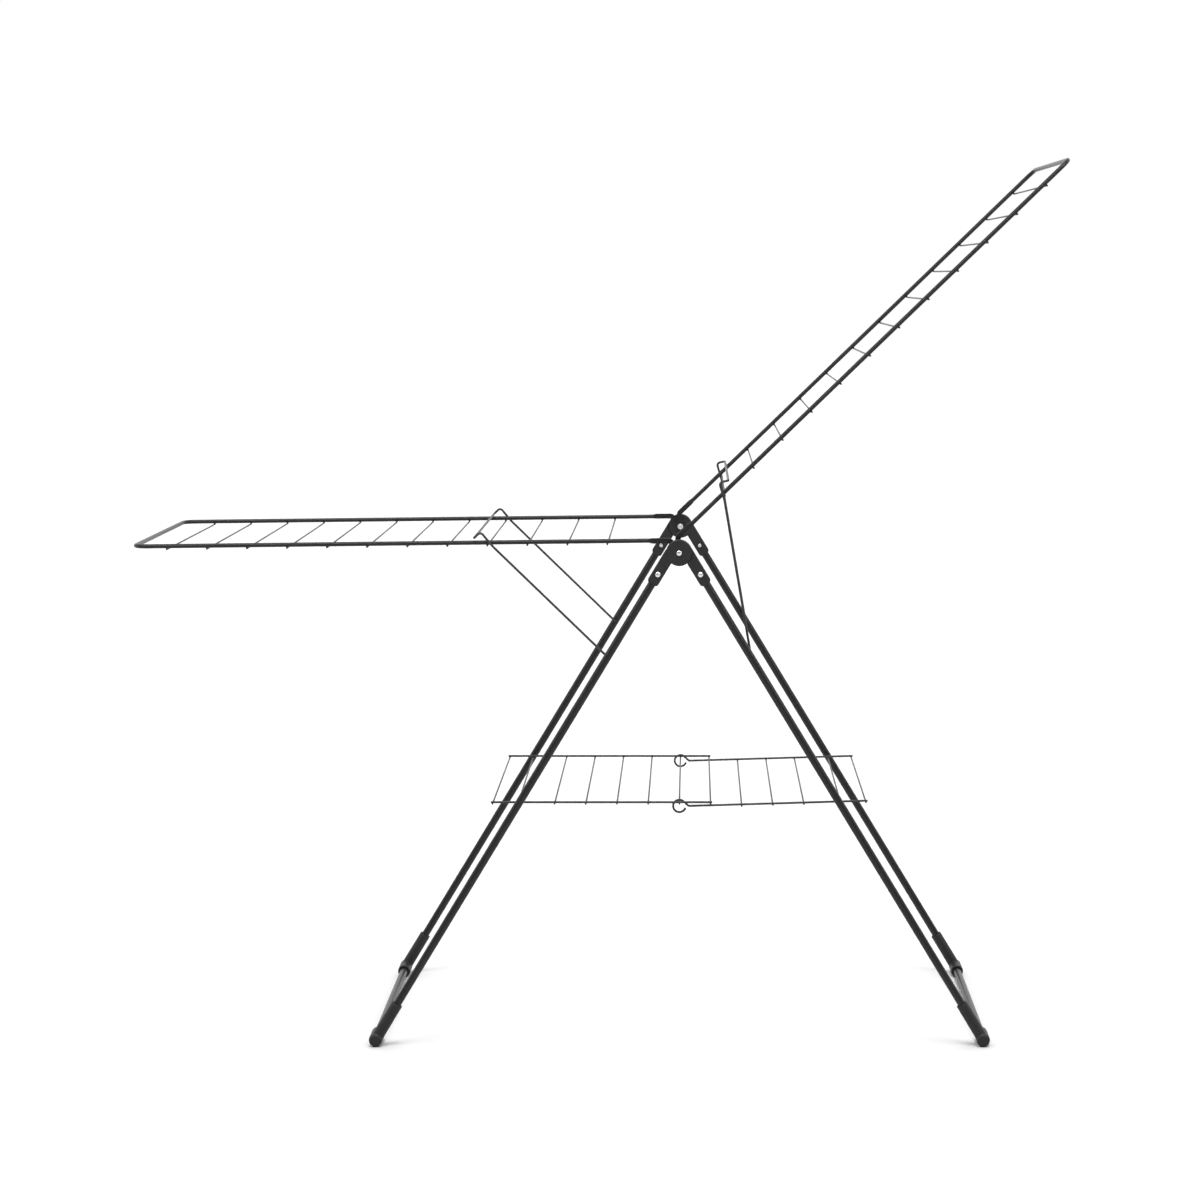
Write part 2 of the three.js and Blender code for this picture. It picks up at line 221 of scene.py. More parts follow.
coatedWireLook = {
    "dark": (0.012, 0.0115, 0.0115, 1),
    "light": (0.024, 0.023, 0.023, 1),
    "worn": (0.07, 0.068, 0.066, 1),
    "roughness": (0.38, 0.52),
    "specular": 0.45,
    "metallic": 0.0,
    "driftScale": 24.0,
    "peelScale": 900.0,
    "toothScale": 4200.0,
    "toothShare": 0.4,
    "grainDepth": 0.00006,
    "grainStrength": 0.3,
    "wear": 0.8,
    "rubScale": 40.0,
    "speckScale": 1400.0,
}

mouldedPlasticLook = {
    "dark": (0.0085, 0.0085, 0.009, 1),
    "light": (0.015, 0.015, 0.0155, 1),
    "worn": (0.06, 0.06, 0.06, 1),
    "roughness": (0.48, 0.62),
    "specular": 0.35,
    "metallic": 0.0,
    "driftScale": 30.0,
    "peelScale": 1500.0,
    "toothScale": 5200.0,
    "toothShare": 0.6,
    "grainDepth": 0.00008,
    "grainStrength": 0.5,
    "wear": 0.6,
    "rubScale": 55.0,
    "speckScale": 1600.0,
}

platedSteelLook = {
    "dark": (0.62, 0.62, 0.63, 1),
    "light": (0.8, 0.8, 0.8, 1),
    "worn": (0.3, 0.29, 0.28, 1),
    "roughness": (0.2, 0.34),
    "specular": 0.5,
    "metallic": 1.0,
    "driftScale": 160.0,
    "peelScale": 1200.0,
    "toothScale": 5000.0,
    "toothShare": 0.5,
    "grainDepth": 0.00003,
    "grainStrength": 0.25,
    "wear": 0.8,
    "rubScale": 260.0,
    "speckScale": 2600.0,
}


def makeFinish(name, look):
    material = bpy.data.materials.new(name)
    material.use_nodes = True
    tree = material.node_tree
    surface = tree.nodes["Principled BSDF"]
    surface.inputs["Metallic"].default_value = look["metallic"]
    surface.inputs["Specular IOR Level"].default_value = look["specular"]
    place = addNode(tree, "ShaderNodeTexCoord").outputs["Object"]
    tone = useEffect(
        tree, "toneDrift", place, Scale=look["driftScale"], Dark=look["dark"], Light=look["light"]
    )
    wear = useEffect(
        tree,
        "handlingWear",
        place,
        RubScale=look["rubScale"],
        SpeckScale=look["speckScale"],
        Amount=look["wear"],
    )
    grain = useEffect(
        tree,
        "coatGrain",
        place,
        PeelScale=look["peelScale"],
        ToothScale=look["toothScale"],
        ToothShare=look["toothShare"],
    )
    colour = addNode(tree, "ShaderNodeMix", data_type="RGBA")
    colour.inputs["B"].default_value = look["worn"]
    tree.links.new(wear.outputs["Mask"], colour.inputs["Factor"])
    tree.links.new(tone.outputs["Color"], colour.inputs["A"])
    tree.links.new(colour.outputs["Result"], surface.inputs["Base Color"])
    sheen = addRange(tree, noiseSpan, look["roughness"])
    tree.links.new(grain.outputs["Height"], sheen.inputs["Value"])
    tree.links.new(sheen.outputs["Result"], surface.inputs["Roughness"])
    bump = addNode(tree, "ShaderNodeBump")
    bump.inputs["Strength"].default_value = look["grainStrength"]
    bump.inputs["Distance"].default_value = look["grainDepth"]
    tree.links.new(grain.outputs["Height"], bump.inputs["Height"])
    tree.links.new(bump.outputs["Normal"], surface.inputs["Normal"])
    return material


finishes = {
    "coated_steel": makeFinish("coatedTube", coatedTubeLook),
    "wire_steel": makeFinish("coatedWire", coatedWireLook),
    "black_plastic": makeFinish("mouldedPlastic", mouldedPlasticLook),
    "bright_steel": makeFinish("platedSteel", platedSteelLook),
}
print("finishes made:", ", ".join(finishes))


overrun = 0.01  # how far a cutting bar runs past the face that it opens


def arc(centreAcross, centreUp, radius, fromDegrees, toDegrees, steps):
    points = []
    for step in range(steps + 1):
        angle = radians(fromDegrees + (toDegrees - fromDegrees) * step / steps)
        points.append((centreAcross + radius * cos(angle), centreUp + radius * sin(angle)))
    return points


def circle(radius, count=60):
    return arc(0, 0, radius, 0, 360 - 360 / count, count - 1)


def squareTo(along):
    # a direction square to along, as near as can be to front-to-back
    start = Vector((1, 0, 0)) if abs(along.y) > 0.9 else Vector((0, 1, 0))
    return (start - along * start.dot(along)).normalized()


def ringOf(centre, height, depth, radius, sides):
    corners = []
    for side in range(sides):
        angle = 2 * pi * side / sides
        corners.append(centre + height * (radius * cos(angle)) + depth * (radius * sin(angle)))
    return corners


def band(here, there, sides):
    # the faces between two rings of corners, numbered from here and from there
    faces = []
    for side in range(sides):
        beside = (side + 1) % sides
        faces.append((here + side, here + beside, there + beside, there + side))
    return faces


def cap(start, sides):
    return tuple(range(start, start + sides))


def roundCorners(path, radiusAt, stepDegrees=8):
    # each inner corner becomes an arc of the radius that radiusAt gives
    rounded = [path[0]]
    for before, corner, after in zip(path, path[1:], path[2:]):
        radius = radiusAt(corner)
        if radius == 0:
            rounded.append(corner)
            continue
        back = (before - corner).normalized()
        ahead = (after - corner).normalized()
        half = back.angle(ahead) / 2
        centre = corner + (back + ahead).normalized() * (radius / sin(half))
        spoke = corner + back * (radius / tan(half)) - centre
        toEnd = corner + ahead * (radius / tan(half)) - centre
        square = toEnd - spoke * (spoke.dot(toEnd) / spoke.length_squared)
        square = square.normalized() * spoke.length
        turn = pi - 2 * half
        steps = max(2, ceil(turn / radians(stepDegrees)))
        for step in range(steps + 1):
            angle = turn * step / steps
            rounded.append(centre + spoke * cos(angle) + square * sin(angle))
    rounded.append(path[-1])
    return rounded


def sweep(path, sides, sectionAt, edge=0.0):
    # a closed bar along a path, mitred at its points, with both ends rounded over by edge
    points = list(path)
    shrink = [0.0] * len(points)
    if edge:
        first = (points[1] - points[0]).normalized()
        last = (points[-2] - points[-1]).normalized()
        inset = [(0.0, edge), (0.3 * edge, 0.3 * edge), (edge, 0.0)]  # along, in from the side
        starts = [points[0] + first * along for along, _ in inset]
        stops = [points[-1] + last * along for along, _ in reversed(inset)]
        points = starts + points[1:-1] + stops
        taken = [cut for _, cut in inset]
        shrink = taken + [0.0] * (len(points) - 2 * len(inset)) + taken[::-1]
    vertices = []
    along = (points[1] - points[0]).normalized()
    depth = squareTo(along)
    for index, point in enumerate(points):
        ahead = (points[index + 1] - point).normalized() if index < len(points) - 1 else along
        plane = (along + ahead).normalized()
        height = depth.cross(along)
        halfHeight, halfDepth, power = sectionAt(point)
        halfHeight -= shrink[index]
        halfDepth -= shrink[index]
        for side in range(sides):
            angle = 2 * pi * (side + 0.5) / sides
            up = abs(cos(angle)) ** (2 / power) * (1 if cos(angle) >= 0 else -1)
            across = abs(sin(angle)) ** (2 / power) * (1 if sin(angle) >= 0 else -1)
            offset = height * (halfHeight * up) + depth * (halfDepth * across)
            offset -= along * (offset.dot(plane) / along.dot(plane))
            vertices.append(point + offset)
        depth.rotate(along.rotation_difference(ahead))
        along = ahead
    faces = []
    for ring in range(len(points) - 1):
        faces += band(ring * sides, (ring + 1) * sides, sides)
    faces += [cap(0, sides)[::-1], cap((len(points) - 1) * sides, sides)]
    return vertices, faces


def rod(path, radius, sides=20, edge=0.0004):
    return sweep(path, sides, lambda point: (radius, radius, 2), edge)


def cutter(start, end, radius, sides=32):
    return rod([start, end], radius, sides, 0)


def tube(start, end, radius, wall, sides=40):
    # an open tube with a real wall
    vertices, faces = [], []
    along = (end - start).normalized()
    depth = squareTo(along)
    height = depth.cross(along)
    rings = [(start, radius), (end, radius), (end, radius - wall), (start, radius - wall)]
    for number, (centre, size) in enumerate(rings):
        vertices += ringOf(centre, height, depth, size, sides)
        faces += band(number * sides, (number + 1) % len(rings) * sides, sides)
    return vertices, faces


def turned(profile, centre, axis, sides=48):
    # a profile of (distance along the axis, radius) turned about it; it starts and ends at radius 0
    along = Vector(axis).normalized()
    height = squareTo(along)
    depth = along.cross(height)
    middle = profile[1:-1]
    vertices = [centre + along * profile[0][0]]
    for distance, radius in middle:
        vertices += ringOf(centre + along * distance, height, depth, radius, sides)
    vertices.append(centre + along * profile[-1][0])
    last = len(vertices) - 1
    faces = []
    for ring in range(len(middle) - 1):
        faces += band(1 + ring * sides, 1 + (ring + 1) * sides, sides)
    for side in range(sides):
        beside = (side + 1) % sides
        faces.append((0, 1 + beside, 1 + side))
        faces.append((last - sides + side, last - sides + beside, last))
    return vertices, faces


def bead(centre, along, up, halfLength, halfHeight, halfWidth, rings=6, sides=12):
    # a small lump of weld between a wire and the rail it is fixed to
    across = along.cross(up)
    vertices, faces = [], []
    for ring in range(1, rings):
        polar = pi * ring / rings
        middle = centre + up * (halfHeight * cos(polar))
        vertices += ringOf(middle, along * halfLength, across * halfWidth, sin(polar), sides)
    for ring in range(rings - 2):
        faces += band(ring * sides, (ring + 1) * sides, sides)
    faces += [cap(0, sides)[::-1], cap((rings - 2) * sides, sides)]
    return vertices, faces


def prism(outline, yFrom, yTo):
    # an outline of side-view points, straight through from one Y to the other
    count = len(outline)
    vertices = [Vector((x, y, z)) for y in (yFrom, yTo) for x, z in outline]
    return vertices, [cap(0, count), cap(count, count)[::-1]] + band(0, count, count)


def together(*shells):
    vertices, faces = [], []
    for shellVertices, shellFaces in shells:
        start = len(vertices)
        vertices += shellVertices
        faces += [tuple(start + corner for corner in face) for face in shellFaces]
    return vertices, faces


def makeObject(name, shell):
    mesh = bpy.data.meshes.new(name)
    mesh.from_pydata([tuple(vertex) for vertex in shell[0]], [], shell[1])
    builder = bmesh.new()
    builder.from_mesh(mesh)
    bmesh.ops.recalc_face_normals(builder, faces=builder.faces)
    builder.to_mesh(mesh)
    builder.free()
    piece = bpy.data.objects.new(name, mesh)
    bpy.context.scene.collection.objects.link(piece)
    return piece


def applyModifiers(piece):
    bpy.context.view_layer.update()
    evaluated = piece.evaluated_get(bpy.context.evaluated_depsgraph_get())
    finished = bpy.data.meshes.new_from_object(evaluated)
    piece.modifiers.clear()
    spare = piece.data
    piece.data = finished
    bpy.data.meshes.remove(spare)


def cutOrJoin(piece, shell, operation):
    tool = makeObject(piece.name + "_tool", shell)
    modifier = piece.modifiers.new("cut", "BOOLEAN")
    modifier.object = tool
    modifier.operation = operation
    modifier.solver = "EXACT"
    modifier.use_self = operation == "DIFFERENCE"
    applyModifiers(piece)
    spare = tool.data
    bpy.data.objects.remove(tool)
    bpy.data.meshes.remove(spare)


def soften(piece, voxel, repeats):
    # moulded fillets: an even skin, then smoothing
    remesh = piece.modifiers.new("skin", "REMESH")
    remesh.mode = "VOXEL"
    remesh.voxel_size = voxel
    smooth = piece.modifiers.new("fillets", "SMOOTH")
    smooth.factor = 0.5
    smooth.iterations = repeats
    applyModifiers(piece)


def fit(piece, slot, body, nodes, sharpAngle=40):
    piece.data.materials.clear()
    piece.data.materials.append(finishes[slot])
    piece.data.shade_smooth()
    piece.data.set_sharp_from_angle(angle=radians(sharpAngle))
    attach(piece, body)
    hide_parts(*nodes)


legSize = {
    "lean": radians(31.14),
    "offset": 0.0129,  # leg axis outside the hinge centre
    "y": 0.268,
    "radius": 0.00725,
    "wall": 0.0012,
    "top": 0.0284,
    "footHeight": 0.0124,
    "endAboveFoot": 0.014,
    "rivetDrop": 0.053,
    "stayDrop": 0.2308,
    "pinHole": 0.00265,
    "barHole": 0.00195,
}


def atSide(side, reach, y, height):
    return Vector((hinge.x + outward[side] * reach, y, height))


def onLeg(side, y, drop, offset):
    # drop is down the leg axis from the top hinge, and offset is square to it, outwards
    lean = legSize["lean"]
    reach = offset * cos(lean) + drop * sin(lean)
    return atSide(side, reach, y, hinge.z + offset * sin(lean) - drop * cos(lean))


def dropTo(height):
    lean = legSize["lean"]
    return (hinge.z + legSize["offset"] * sin(lean) - height) / cos(lean)


def makeLeg(side, end):
    y = ends[end] * legSize["y"]
    top = onLeg(side, y, legSize["top"], legSize["offset"])
    bottomDrop = dropTo(legSize["footHeight"]) - legSize["endAboveFoot"]
    bottom = onLeg(side, y, bottomDrop, legSize["offset"])
    shell = tube(top, bottom, legSize["radius"], legSize["wall"])
    leg = makeObject(f"{side}_leg_tube_{end}", shell)
    holes = []
    inner = ends[end] * (legSize["y"] - 2 * legSize["radius"])
    outer = ends[end] * (legSize["y"] + 2 * legSize["radius"])
    for drop, radius, stop in (
        (legSize["stayDrop"], legSize["pinHole"], y),
        (dropTo(shelfHinge.z), legSize["barHole"], y),
        (legSize["rivetDrop"], legSize["pinHole"], outer),
    ):
        start = onLeg(side, inner, drop, legSize["offset"])
        finish = onLeg(side, stop, drop, legSize["offset"])
        holes.append(cutter(start, finish, radius, 20))
    cutOrJoin(leg, together(*holes), "DIFFERENCE")
    fit(leg, "coated_steel", f"{side}_legs", [f"{side}_leg_{end}"])


for side in outward:
    for end in ends:
        makeLeg(side, end)
print("legs made")


footSize = {
    "radius": 0.0123,
    "innerY": 0.226,
    "outerY": 0.281,
    "edge": 0.005,
    "chamfer": 0.001,
    "sleeveRadius": 0.01075,
    "sleeveTaper": 0.0004,
    "sleeveLength": 0.078,
    "lip": (0.001, 0.0008),  # along the sleeve, and in
    "soleHalfWidth": 0.006,
    "tubeRadius": 0.0075,
    "tubeHalf": 0.264,
    "slack": 0.0003,
    "voxel": 0.0007,
    "smoothing": 5,
    "sharpAngle": 60,
}


def makeFoot(side, end):
    size = footSize
    direction = ends[end]
    height = legSize["footHeight"]
    centre = onLeg(side, direction * legSize["y"], dropTo(height), legSize["offset"])
    upLeg = (onLeg(side, centre.y, 0, legSize["offset"]) - centre).normalized()
    length, radius = size["sleeveLength"], size["sleeveRadius"]
    lipLength, lipDepth = size["lip"]
    mouth = radius - size["sleeveTaper"]
    sleeve = turned(
        [(0, 0), (0, radius), (length - lipLength, mouth), (length, mouth - lipDepth), (length, 0)],
        centre,
        upLeg,
    )
    inner, outer, wide = size["innerY"], size["outerY"], size["radius"]
    edge, chamfer = size["edge"], size["chamfer"]
    profile = [(inner, 0), (inner, wide - chamfer), (inner + chamfer, wide)]
    profile += arc(outer - edge, wide - edge, edge, 90, 0, 6) + [(outer, 0)]
    barrel = turned(profile, Vector((centre.x, 0, height)), (0, direction, 0))
    left, right = centre.x - size["soleHalfWidth"], centre.x + size["soleHalfWidth"]
    outline = [(left, 0), (right, 0), (right, height), (left, height)]
    sole = prism(outline, direction * (inner + chamfer), direction * (outer - edge))
    foot = makeObject(f"{side}_foot_shell_{end}", sleeve)
    cutOrJoin(foot, barrel, "UNION")
    cutOrJoin(foot, sole, "UNION")
    legBore = cutter(
        centre + upLeg * legSize["endAboveFoot"],
        centre + upLeg * (length + overrun),
        legSize["radius"] + size["slack"],
        40,
    )
    tubeBore = cutter(
        Vector((centre.x, direction * (inner - overrun), height)),
        Vector((centre.x, direction * (size["tubeHalf"] + size["slack"]), height)),
        size["tubeRadius"] + size["slack"],
        40,
    )
    cutOrJoin(foot, legBore, "DIFFERENCE")
    cutOrJoin(foot, tubeBore, "DIFFERENCE")
    soften(foot, size["voxel"], size["smoothing"])
    fit(foot, "black_plastic", f"{side}_legs", [f"{side}_foot_{end}"], size["sharpAngle"])


def makeCrossTube(side):
    centre = onLeg(side, 0, dropTo(legSize["footHeight"]), legSize["offset"])
    half = Vector((0, footSize["tubeHalf"], 0))
    shell = tube(centre - half, centre + half, footSize["tubeRadius"], legSize["wall"])
    piece = makeObject(f"{side}_floor_tube", shell)
    fit(piece, "coated_steel", f"{side}_legs", [f"{side}_cross_tube"])


for side in outward:
    makeCrossTube(side)
    for end in ends:
        makeFoot(side, end)
print("feet and floor tubes made")


bracketSize = {
    "discRadius": 0.0235,
    "clearRadius": 0.0243,
    "innerY": 0.258,
    "outerY": 0.278,
    "halfGap": 0.00015,
    "armWidth": 0.021,
    "armLength": 0.0736,
    "armCorner": 0.005,
    "slack": 0.0003,
    "pinRadius": 0.0033,
    "rivetHole": 0.0025,
    "voxel": 0.0006,
    "smoothing": 4,
    "sharpAngle": 60,
}


def makeBracket(side, end):
    size = bracketSize
    direction = ends[end]
    left = legSize["offset"] - size["armWidth"] / 2
    right = legSize["offset"] + size["armWidth"] / 2
    low, corner = -size["armLength"], size["armCorner"]
    arm = [(left, 0)]
    arm += arc(left + corner, low + corner, corner, 180, 270, 8)
    arm += arc(right - corner, low + corner, corner, 270, 360, 8)
    arm += [(right, 0)]
    split = (size["innerY"] + size["outerY"]) / 2
    if side == "left":
        own = (split + size["halfGap"], size["outerY"])
        cut = (size["innerY"] - overrun, own[0])
    else:
        own = (size["innerY"], split - size["halfGap"])
        cut = (own[1], size["outerY"] + overrun)
    disc, clear = circle(size["discRadius"]), circle(size["clearRadius"])

    def lean(points):
        placed = []
        for across, up in points:
            spot = onLeg(side, 0, -up, across)
            placed.append((spot.x, spot.z))
        return placed

    piece = makeObject(
        f"{side}_bracket_shell_{end}",
        prism(lean(arm), direction * size["innerY"], direction * size["outerY"]),
    )
    cutOrJoin(piece, prism(lean(clear), direction * cut[0], direction * cut[1]), "DIFFERENCE")
    cutOrJoin(piece, prism(lean(disc), direction * own[0], direction * own[1]), "UNION")
    legY = direction * legSize["y"]
    socket = cutter(
        onLeg(side, legY, legSize["top"] - size["slack"], legSize["offset"]),
        onLeg(side, legY, size["armLength"] + overrun, legSize["offset"]),
        legSize["radius"] + size["slack"],
        40,
    )
    bores = [socket]
    for drop, offset, radius in (
        (0, 0, size["pinRadius"]),
        (legSize["rivetDrop"], legSize["offset"], size["rivetHole"]),
    ):
        start = onLeg(side, direction * (size["innerY"] - overrun), drop, offset)
        stop = onLeg(side, direction * (size["outerY"] + overrun), drop, offset)
        bores.append(cutter(start, stop, radius))
    for bore in bores:
        cutOrJoin(piece, bore, "DIFFERENCE")
    soften(piece, size["voxel"], size["smoothing"])
    fit(piece, "black_plastic", f"{side}_legs", [f"{side}_bracket_{end}"], size["sharpAngle"])


for side in outward:
    for end in ends:
        makeBracket(side, end)
print("hinge brackets made")


rivetSize = {
    "headRadius": 0.0049,
    "headHeight": 0.0026,
    "headEdge": 0.0002,
    "rim": 0.0006,
    "domeTurn": 80,  # degrees of the dome, up to the dimple in its middle
    "dimple": [(0.0004, 0.00066), (0.0005, 0)],  # below the top, and radius
    "seat": 0.0003,  # under the head
    "tailEdge": 0.0005,
    "sharpAngle": 35,
    "hinge": {"shank": 0.003, "tail": 0.0055, "tailHeight": 0.0024, "innerY": 0.2514},
    "arm": {"shank": 0.0022, "tail": 0.0036, "tailHeight": 0.0012, "innerY": 0.2577},
}


def makeRivet(name, centre, direction, kind, body, node):
    size = rivetSize[kind]
    inner, outer = size["innerY"], bracketSize["outerY"] + rivetSize["seat"]
    radius, height, rim = rivetSize["headRadius"], rivetSize["headHeight"], rivetSize["rim"]
    start, tail, shank = inner - size["tailHeight"], size["tail"], size["shank"]
    tailEdge, headEdge = rivetSize["tailEdge"], rivetSize["headEdge"]
    profile = [(start, 0), (start, tail - tailEdge), (start + tailEdge, tail), (inner, tail)]
    profile += [(inner, shank), (outer, shank)]
    profile += [(outer, radius - headEdge), (outer + headEdge, radius)]
    for across, up in arc(0, 0, 1, 0, rivetSize["domeTurn"], 8):
        profile.append((outer + rim + (height - rim) * up, radius * across))
    profile += [(outer + height - below, reach) for below, reach in rivetSize["dimple"]]
    spot = Vector((centre.x, 0, centre.z))
    piece = makeObject(name, turned(profile, spot, (0, direction, 0)))
    fit(piece, "bright_steel", body, [node], rivetSize["sharpAngle"])


for end in ends:
    makeRivet(f"hinge_pin_{end}", hinge, ends[end], "hinge", "left_legs", f"hinge_rivet_{end}")
    for side in outward:
        spot = onLeg(side, 0, legSize["rivetDrop"], legSize["offset"])
        body, node = f"{side}_legs", f"{side}_arm_rivet_{end}"
        makeRivet(f"{side}_arm_pin_{end}", spot, ends[end], "arm", body, node)
print("rivets made")


wingSize = {
    "rise": {"left": radians(-0.655), "right": radians(44.06)},
    "railRise": 0.0207,
    "railY": 0.2504,
    "railRadius": 0.004,
    "tipReach": 0.986,
    "tipCorner": 0.024,
    "lines": 12,
    "lineStart": 0.1296,
    "lineSpacing": 0.0724,
    "lineDrop": 0.0058,
    "lineRadius": 0.0015,
    "lineHalf": 0.2535,
    "weld": (0.0021, 0.0011, 0.0026),  # half length along the rail, half height and half width
    "tabY": {"left": 0.256, "right": 0.253},
    "tabHalf": 0.005,
    "tabHalfThick": 0.0013,
    "tabKnee": 0.016,
    "tabKneeRadius": 0.010,
    "tabEnd": 0.046,
    "crankEnd": 0.056,
    "crankSteps": 8,
    "eyeRadius": 0.008,
    "eyeEdge": 0.0004,
    "eyeHole": 0.0034,
}


def onWing(side, along, y, up):
    rise = wingSize["rise"][side]
    reach = along * cos(rise) - up * sin(rise)
    return atSide(side, reach, y, hinge.z + along * sin(rise) + up * cos(rise))


def easing(share):
    share = min(1.0, max(0.0, share))
    return share * share * (3 - 2 * share)


def makeWingFrame(side):
    size = wingSize
    tabY, railY, rail = size["tabY"][side], size["railY"], size["railRise"]
    half = [(0.0, tabY, 0.0), (size["tabKnee"], tabY, rail)]
    for step in range(size["crankSteps"] + 1):
        share = step / size["crankSteps"]
        along = size["tabEnd"] + (size["crankEnd"] - size["tabEnd"]) * share
        half.append((along, tabY + (railY - tabY) * easing(share), rail))
    half.append((size["tipReach"], railY, rail))
    whole = half + [(along, -y, up) for along, y, up in reversed(half)]
    path = [onWing(side, *spot) for spot in whole]
    knee = {tuple(path[1]), tuple(path[-2])}
    tips = {tuple(path[len(half) - 1]), tuple(path[len(half)])}

    def radiusAt(corner):
        if tuple(corner) in tips:
            return size["tipCorner"]
        return size["tabKneeRadius"] if tuple(corner) in knee else 0

    def sectionAt(point):
        forward = onWing(side, 1, 0, 0) - onWing(side, 0, 0, 0)
        along = (point - onWing(side, 0, point.y, 0)).dot(forward)
        flat = 1 - easing((along - size["tabEnd"]) / (size["crankEnd"] - size["tabEnd"]))
        wide = size["railRadius"] + (size["tabHalf"] - size["railRadius"]) * flat
        thick = size["railRadius"] + (size["tabHalfThick"] - size["railRadius"]) * flat
        return wide, thick, 2 + 3 * flat  # a power of 2 is round, and 5 is nearly square

    wing = makeObject(f"{side}_wing_tube", sweep(roundCorners(path, radiusAt, 6), 32, sectionAt))
    thick, radius, edge = size["tabHalfThick"], size["eyeRadius"], size["eyeEdge"]
    profile = [(tabY - thick, 0), (tabY - thick, radius - edge), (tabY - thick + edge, radius)]
    profile += [(tabY + thick - edge, radius), (tabY + thick, radius - edge), (tabY + thick, 0)]
    for end in ends.values():
        cutOrJoin(wing, turned(profile, onWing(side, 0, 0, 0), (0, end, 0)), "UNION")
        start = onWing(side, 0, end * (tabY - overrun), 0)
        stop = onWing(side, 0, end * (tabY + overrun), 0)
        cutOrJoin(wing, cutter(start, stop, size["eyeHole"]), "DIFFERENCE")
    fit(wing, "coated_steel", f"{side}_wing", [f"{side}_wing_frame"])


def makeLine(side, number):
    size = wingSize
    along = size["lineStart"] + size["lineSpacing"] * number
    up = size["railRise"] - size["lineDrop"]
    start = onWing(side, along, -size["lineHalf"], up)
    stop = onWing(side, along, size["lineHalf"], up)
    shells = [rod([start, stop], size["lineRadius"], 16)]
    forward = (onWing(side, 1, 0, 0) - onWing(side, 0, 0, 0)).normalized()
    upward = (onWing(side, 0, 0, 1) - onWing(side, 0, 0, 0)).normalized()
    for end in ends.values():
        spot = onWing(side, along, end * size["railY"], up + size["lineRadius"])
        shells.append(bead(spot, forward, upward, *size["weld"]))
    wire = makeObject(f"{side}_wire_{number + 1:02d}", together(*shells))
    fit(wire, "wire_steel", f"{side}_wing", [f"{side}_line_{number + 1:02d}"])


for side in outward:
    makeWingFrame(side)
    for number in range(wingSize["lines"]):
        makeLine(side, number)
print("wings made")


staySize = {
    "rise": {"left": radians(42), "right": radians(97.44)},
    "radius": 0.0022,
    "y": 0.2576,
    "pinY": 0.268,
    "reach": 0.323,
    "kink": (0.2886, 0.0115),
    "top": (0.3216, 0.0166),
    "bends": (0.003, 0.014, 0.006, 0.006),
}


def makeStay(side):
    size = staySize
    pivot = onLeg(side, 0, legSize["stayDrop"], legSize["offset"])
    rise = size["rise"][side]

    def onStay(along, y, up):
        reach = along * cos(rise) - up * sin(rise)
        height = pivot.z + along * sin(rise) + up * cos(rise)
        return Vector((pivot.x + outward[side] * reach, y, height))

    half = [
        (0, size["pinY"], 0),
        (0, size["y"], 0),
        (size["kink"][0], size["y"], size["kink"][1]),
        (size["top"][0], size["y"], size["top"][1]),
        (size["reach"], size["y"], 0),
    ]
    whole = half + [(along, -y, up) for along, y, up in reversed(half)]
    path = [onStay(*spot) for spot in whole]
    bends = dict(zip(map(tuple, path[1:5]), size["bends"]))
    bends.update(zip(map(tuple, path[-2:-6:-1]), size["bends"]))
    shell = rod(roundCorners(path, lambda corner: bends[tuple(corner)]), size["radius"], 20)
    hoop = makeObject(f"{side}_stay_hoop", shell)
    fit(hoop, "wire_steel", f"{side}_stay", [f"{side}_stay"])


for side in outward:
    makeStay(side)
print("stays made")


shelfSize = {
    "edge": 0.342,
    "outerBar": 0.2284,
    "pitch": 0.0571,
    "barRadius": 0.0015,
    "railRadius": 0.002,
    "railRise": 0.0028,
    "leftRailY": 0.243,
    "rightRailY": 0.236,
    "overhang": 0.003,
    "pinY": 0.268,
    "rightPinY": 0.2601,
    "tilt": radians(1.7),
    "hookStart": 0.017,
    "hookRadius": 0.0115,
    "hookDrop": 0.0055,
    "hookTurn": (42, 342),
    "hookSteps": 26,
    "hookBend": 0.004,
    "weld": (0.0024, 0.0009, 0.0022),  # half length along the rail, half height and half width
    "weldRise": 0.0012,
}
shelfPivot = abs(joints["shelf_left_fold"]["pos_m"][0] - hinge.x)


def onShelf(side, reach, y, up):
    return atSide(side, reach, y, shelfHinge.z + up)


def gridBar(side, reach, halfLength, up, railY):
    bar = rod(
        [onShelf(side, reach, -halfLength, up), onShelf(side, reach, halfLength, up)],
        shelfSize["barRadius"],
        16,
    )
    shells = [bar]
    for end in ends.values():
        spot = onShelf(side, reach, end * railY, up + shelfSize["weldRise"])
        shells.append(bead(spot, Vector((1, 0, 0)), Vector((0, 0, 1)), *shelfSize["weld"]))
    return together(*shells)


def makeLeftGrid():
    size = shelfSize
    shells = [gridBar("left", shelfPivot, size["pinY"], 0, size["leftRailY"])]
    reaches = [size["edge"], size["outerBar"]]
    reaches += [size["pitch"] * count for count in (3, 2, 1, 0, -1)]
    for reach in reaches:
        half = size["leftRailY"] + size["overhang"]
        shells.append(gridBar("left", reach, half, 0, size["leftRailY"]))
    for end in ends.values():
        y = end * size["leftRailY"]
        outer = onShelf("left", size["edge"] + size["overhang"], y, size["railRise"])
        inner = onShelf("left", -size["pitch"] - size["overhang"], y, size["railRise"])
        shells.append(rod([outer, inner], size["railRadius"], 20))
    grid = makeObject("left_shelf_wires", together(*shells))
    fit(grid, "wire_steel", "shelf_left", ["left_shelf_grid"])


